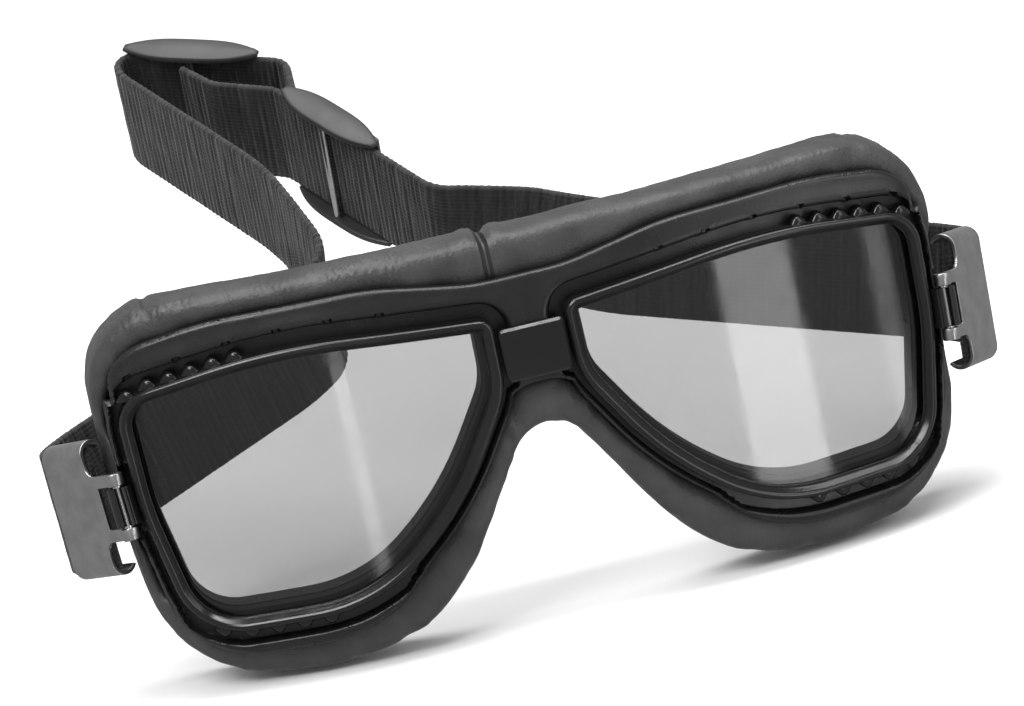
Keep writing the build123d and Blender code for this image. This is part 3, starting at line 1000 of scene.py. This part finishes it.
def strap_path(side):
    """Centre points and width directions from inside the clip's plate to the strap's far end."""
    middle, along, lean, out = clip_axes(side)
    sign = 1 if side == "right" else -1
    rest, upright = sagged(strap_centre_line(f"{side}_strap", sign * 84 * MM), *SAG_REACH[side])
    start = middle + along * 9.5 * MM - out * BEHIND_PLATE
    tip = middle + along * (CLIP_REACH - 0.6 * MM) - out * BEHIND_PLATE
    heading = (rest[6] - rest[0]).normalized()
    turn = bezier(tip, tip + along * 8 * MM, rest[0] - heading * 12 * MM, rest[0], 80)
    points = [start.lerp(tip, i / 30) for i in range(30)] + turn[:-1] + rest
    widths = [lean] * 30 + [lean.lerp(upright[0], i / 79).normalized() for i in range(79)] + upright
    at = np.r_[0, np.cumsum([(b - a).length for a, b in zip(points, points[1:])])]
    rows = int(at[-1] / (RIB_PITCH / ROWS_PER_RIB))
    want = np.linspace(0, at[-1], rows)
    place = np.stack([np.interp(want, at, [p[k] for p in points]) for k in range(3)], 1)
    width = np.stack([np.interp(want, at, [w[k] for w in widths]) for k in range(3)], 1)
    # a short running mean takes the last kinks out
    for _ in range(6):
        place[1:-1] = 0.25 * place[:-2] + 0.5 * place[1:-1] + 0.25 * place[2:]
    return place, width, want


def build_strap(side):
    place, width, at = strap_path(side)
    tangent = np.gradient(place, axis=0)
    tangent /= np.linalg.norm(tangent, axis=1)[:, None]
    width -= tangent * (width * tangent).sum(1)[:, None]
    width /= np.linalg.norm(width, axis=1)[:, None]
    normal = np.cross(tangent, width)
    section = list(zip(SECTION_ACROSS, SECTION_THICK))
    section += [(a, -t) for a, t in reversed(section)]
    count = len(section)
    verts, uvs = [], []
    for p, w, n, d in zip(place, width, normal, at):
        row_seed = noise.noise(Vector((d * 190, 3.1, 0)))
        ragged = 0.10 * MM * math.cos(2 * math.pi * d / RIB_PITCH)
        ragged += 0.12 * MM * noise.noise(Vector((d * 700, 9, 1)))
        for a, t in section:
            wander = 0.25 * noise.noise(Vector((d * 260, a * 2.2, 5.0))) + 0.12 * row_seed * a
            rib = 0.5 + 0.5 * math.cos(2 * math.pi * (d / RIB_PITCH + wander))
            flat = 0.75 + 0.5 * noise.noise(Vector((d * 120, a * 3, 2.0)))
            offset = t * SECTION_HALF + math.copysign(rib * RIB_HEIGHT * flat * min(1, abs(t) * 1.1), t)
            aside = a * STRAP_WIDTH / 2 + math.copysign(ragged, a) * (abs(a) > 0.9)
            verts.append(Vector(p) + Vector(w) * aside + Vector(n) * offset)
            uvs.append((d, a * STRAP_WIDTH / 2))
    faces = []
    rows = len(place)
    for i in range(rows - 1):
        for k in range(count):
            n = (k + 1) % count
            faces.append((i * count + k, i * count + n, (i + 1) * count + n, (i + 1) * count + k))
    faces.append(tuple(range(count)))
    faces.append(tuple(reversed(range((rows - 1) * count, rows * count))))
    strap = new_object(f"{side}_strap_webbing", mesh_from(f"{side}_strap", verts, faces))
    layer = strap.data.uv_layers.new(name="strap")
    for loop in strap.data.loops:
        layer.data[loop.index].uv = uvs[loop.vertex_index]
    fix_normals(strap)
    finish_piece(strap, "strap_elastic")
    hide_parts(f"{side}_strap", f"{side}_strap_end")
    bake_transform(strap)


for side in ("left", "right"):
    build_strap(side)


# ------------------------------------------------------------------ saddles that hold the hinge bars
SADDLE_RADIUS = 2.25 * MM
SADDLE_BORE = 1.0 * MM
SADDLE_MOUTH = 0.72 * MM        # half the opening the bar snaps through
SADDLE_HALF_HEIGHT = 3.9 * MM
LUG = (-2.75 * MM, -1.2 * MM, 5.0 * MM)     # its two sides and its far end, from the bar


def build_saddle(side):
    """The open hook on the frame that the clip's hinge bar snaps into, with the lug behind it."""
    middle, _, lean, _ = clip_axes(side)
    sign = 1 if side == "right" else -1
    across = Vector((sign, 0, 0))
    across = (across - lean * across.dot(lean)).normalized()
    back = lean.cross(across) * sign
    outer, inner = [], []
    mouth = math.asin(SADDLE_MOUTH / SADDLE_RADIUS)
    for i in range(41):
        turn = -math.pi / 2 + mouth + (2 * math.pi - 2 * mouth) * i / 40
        x, y = SADDLE_RADIUS * math.cos(turn), SADDLE_RADIUS * math.sin(turn)
        if turn > math.pi / 2 and x < LUG[1]:
            if outer and outer[-1][0] <= LUG[0]:
                if y < 0:
                    outer.append((x, y))
                continue
            outer += [(LUG[1], y), (LUG[1], LUG[2]), (LUG[0], LUG[2]), (LUG[0], 0)]
            continue
        outer.append((x, y))
    mouth_in = math.asin(SADDLE_MOUTH / SADDLE_BORE)
    for i in range(33):
        turn = -math.pi / 2 - mouth_in - (2 * math.pi - 2 * mouth_in) * i / 32
        inner.append((SADDLE_BORE * math.cos(turn), SADDLE_BORE * math.sin(turn)))
    outline = outer + inner
    bm = bmesh.new()
    rings = []
    for height in (-SADDLE_HALF_HEIGHT, SADDLE_HALF_HEIGHT):
        rings.append([bm.verts.new(middle + across * x + back * y + lean * height) for x, y in outline])
    for ring in rings:
        bm.faces.new(ring)
    join_rings(bm, rings)
    bmesh.ops.triangulate(bm, faces=[f for f in bm.faces if len(f.verts) > 4])
    bmesh.ops.recalc_face_normals(bm, faces=bm.faces)
    saddle = object_from(bm, f"{side}_clip_saddle")
    finish_piece(saddle, "frame_black")
    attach(saddle, "goggles")
    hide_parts("frame")


for side in ("left", "right"):
    build_saddle(side)


# ------------------------------------------------------------------ sliding adjusters
SLIDER_HALF_LENGTH = 15.9 * MM
SLIDER_BULGE = 3.7 * MM         # half a cap's width at its middle
CAP_START = 13.0 * MM           # from the strap's middle to the underside of a cap
CAP_EDGE = 1.3 * MM             # height of a cap's edge
CAP_DOME = 0.6 * MM             # and how far its middle rises above that
POST_PLACE = 12.6 * MM          # from the adjuster's middle to each post
POST_BEHIND = 1.9 * MM          # the posts stand behind the strap
POST_HALF = (1.9 * MM, 0.55 * MM)
CAP_ROUND = 0.12 * MM           # the last of the rounding between a cap's edge and its dome
CAP_RINGS = 10
CAP_POINTS = 96
POST_POINTS = 24


def slider_axes(name):
    low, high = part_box(name)
    along = Vector(joint(f"{name}_travel")["axis"]).normalized()
    behind = STRAP_UP.cross(along)
    return (low + high) / 2, along, behind


def build_slider(name):
    """Two domed lens-shaped caps over the strap's edges, joined by a flat post near each end."""
    middle, along, behind = slider_axes(name)
    bm = bmesh.new()

    def outline(turn):
        x = math.cos(turn)
        return x * SLIDER_HALF_LENGTH, math.copysign(SLIDER_BULGE * (1 - abs(x) ** 3.4), math.sin(turn))

    for sign in (1, -1):
        profile = [(0.90, 0.0), (0.97, 0.06 * MM), (0.995, 0.35 * MM), (1.0, 0.8 * MM),
                   (0.99, CAP_EDGE - 0.25 * MM), (0.965, CAP_EDGE), (0.90, CAP_EDGE + CAP_ROUND)]
        for i in range(1, CAP_RINGS):
            shrink = 0.90 * (1 - i / CAP_RINGS)
            dome = (CAP_DOME - CAP_ROUND) * (1 - (shrink / 0.9) ** 2)
            profile.append((shrink, CAP_EDGE + CAP_ROUND + dome))
        loops = []
        for scale, height in profile:
            loop = []
            for k in range(CAP_POINTS):
                x, y = outline(2 * math.pi * (k + 0.5) / CAP_POINTS)
                # rounded tips: the ends are pulled in a little and kept blunt
                y += math.copysign(0.75 * MM * (abs(x) / SLIDER_HALF_LENGTH) ** 6, y)
                loop.append(bm.verts.new(middle + along * x * scale + behind * y * scale
                                         + STRAP_UP * sign * (CAP_START + height)))
            loops.append(loop)
        join_rings(bm, loops)
        bm.faces.new(loops[0])
        bm.faces.new(loops[-1])
    for end in (-1, 1):
        rows = []
        for height in (-CAP_START - 0.4 * MM, CAP_START + 0.4 * MM):
            row = []
            for k in range(POST_POINTS):
                turn = 2 * math.pi * k / POST_POINTS
                x = math.copysign(abs(math.cos(turn)) ** 0.5, math.cos(turn)) * POST_HALF[0]
                y = math.copysign(abs(math.sin(turn)) ** 0.5, math.sin(turn)) * POST_HALF[1]
                row.append(bm.verts.new(middle + along * (end * POST_PLACE + x) + behind * (POST_BEHIND + y)
                                        + STRAP_UP * height))
            rows.append(row)
        join_rings(bm, rows)
        for row in rows:
            bm.faces.new(row)
    bmesh.ops.recalc_face_normals(bm, faces=bm.faces)
    for face in bm.faces:
        face.smooth = len(face.verts) == 4
    slider = object_from(bm, f"{name}_moulding")
    finish_piece(slider, "slider_plastic")
    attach(slider, f"{name}_body")
    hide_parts(name)


for name in ("rear_slider", "front_slider"):
    build_slider(name)


# ------------------------------------------------------------------ stage, lights and camera
CAMERA_DISTANCE = 0.800
CAMERA_AZIMUTH = math.radians(-6.0)
CAMERA_ELEVATION = math.radians(12.5)
CAMERA_ROLL = math.radians(12.3)
CAMERA_SHIFT = (-0.0249, 0.00195)       # of the picture's width, so that the origin isn't in its middle
FOCAL_LENGTH = 145.1
LENS_DEPTH = 3 * MM             # the front surface of the lenses
STRIP_DISTANCE = 1.1
FLOOR_SIZE = 6.0
FLOOR_BEND = 1.2                # the floor turns up into a wall from here
BEND_RADIUS = 0.8
WALL_HEIGHT = 4.0
ROOM_LIGHT = 0.55
MIRRORED_ROOM = 0.34            # the room as the shiny surfaces see it


def camera_axes():
    ca, sa = math.cos(CAMERA_AZIMUTH), math.sin(CAMERA_AZIMUTH)
    ce, se = math.cos(CAMERA_ELEVATION), math.sin(CAMERA_ELEVATION)
    back = Vector((sa * ce, -ca * ce, se))
    right = Vector((ca, sa, 0))
    up = back.cross(right)
    cr, sr = math.cos(CAMERA_ROLL), math.sin(CAMERA_ROLL)
    return cr * right - sr * up, sr * right + cr * up, back


def build_camera():
    right, up, back = camera_axes()
    data = bpy.data.cameras.new("camera")
    data.lens = FOCAL_LENGTH
    data.sensor_width = 36.0
    data.clip_start = 0.01
    data.clip_end = 50
    data.shift_x, data.shift_y = CAMERA_SHIFT
    cam = new_object("camera", data)
    turned = Matrix((right, up, back)).transposed().to_4x4()
    cam.matrix_world = Matrix.Translation(back * CAMERA_DISTANCE) @ turned
    bpy.context.scene.camera = cam


def area_light(name, place, target, size, power):
    data = bpy.data.lights.new(name, "AREA")
    data.shape = "RECTANGLE"
    data.size, data.size_y = size
    data.energy = power
    lamp = new_object(name, data)
    lamp.location = place
    lamp.rotation_mode = "QUATERNION"
    lamp.rotation_quaternion = (Vector(target) - Vector(place)).to_track_quat("-Z", "Y")


def strip_light(name, x, z, size, power):
    """A tall softbox, placed so that the camera sees its mirror image in the lens surface at (x, z)."""
    seen = wrapped(x, z, LENS_DEPTH)
    ray = (seen - camera_axes()[2] * CAMERA_DISTANCE).normalized()
    normal = Vector((seen.x, seen.y - WRAP_RADIUS, 0)).normalized()
    away = ray - 2 * ray.dot(normal) * normal
    area_light(name, seen + away * STRIP_DISTANCE, seen, size, power)


def build_stage():
    floor_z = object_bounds()[0].z - 1 * MM
    bm = bmesh.new()
    profile = [(-FLOOR_SIZE, 0.0), (FLOOR_BEND, 0.0)]
    for i in range(1, 17):
        turn = math.radians(90) * i / 16
        profile.append((FLOOR_BEND + math.sin(turn) * BEND_RADIUS, (1 - math.cos(turn)) * BEND_RADIUS))
    profile.append((FLOOR_BEND + BEND_RADIUS, WALL_HEIGHT))
    rows = [[bm.verts.new((x, y, z + floor_z)) for y, z in profile] for x in (-FLOOR_SIZE, FLOOR_SIZE)]
    for a, b, c, d in zip(rows[0], rows[0][1:], rows[1][1:], rows[1]):
        bm.faces.new((a, b, c, d))
    floor = object_from(bm, "floor")
    floor.data.shade_smooth()
    m = Nodes("floor")
    m.set(Base_Color=(0.86, 0.86, 0.86, 1), Roughness=0.9)
    floor.data.materials.append(m.material)
    floor.visible_glossy = False
    area_light("key_softbox", (-0.9, -0.9, 1.5), (0, 0.02, 0), (1.0, 1.0), 26)
    area_light("top_softbox", (0.2, 0.3, 1.6), (0, 0.03, 0), (1.8, 1.2), 24)
    area_light("edge_light", (0.0, -0.35, 1.5), (0, 0, 0), (1.6, 0.10), 8)
    area_light("fill_softbox", (1.2, -0.8, 0.7), (0, 0.02, 0), (0.8, 1.0), 5)
    strip_light("right_strip", 46.37 * MM, -15.84 * MM, (0.19, 0.9), 1.6)
    strip_light("edge_strip", 72.38 * MM, -10.09 * MM, (0.05, 0.9), 0.16)
    strip_light("left_strip", -38.13 * MM, -8.03 * MM, (0.035, 0.9), 0.20)
    world = bpy.data.worlds.new("world")
    world.use_nodes = True
    tree = world.node_tree
    tree.nodes["Background"].inputs["Color"].default_value = (1, 1, 1, 1)
    # mirrored in the shiny surfaces, the room is dimmer, as in a studio with black flags
    path = tree.nodes.new("ShaderNodeLightPath")
    strength = tree.nodes.new("ShaderNodeMapRange")
    tree.links.new(path.outputs["Is Glossy Ray"], strength.inputs["Value"])
    strength.inputs["To Min"].default_value = ROOM_LIGHT
    strength.inputs["To Max"].default_value = MIRRORED_ROOM
    tree.links.new(strength.outputs[0], tree.nodes["Background"].inputs["Strength"])
    bpy.context.scene.world = world
    bpy.context.scene.view_settings.view_transform = "Standard"


build_camera()
build_stage()
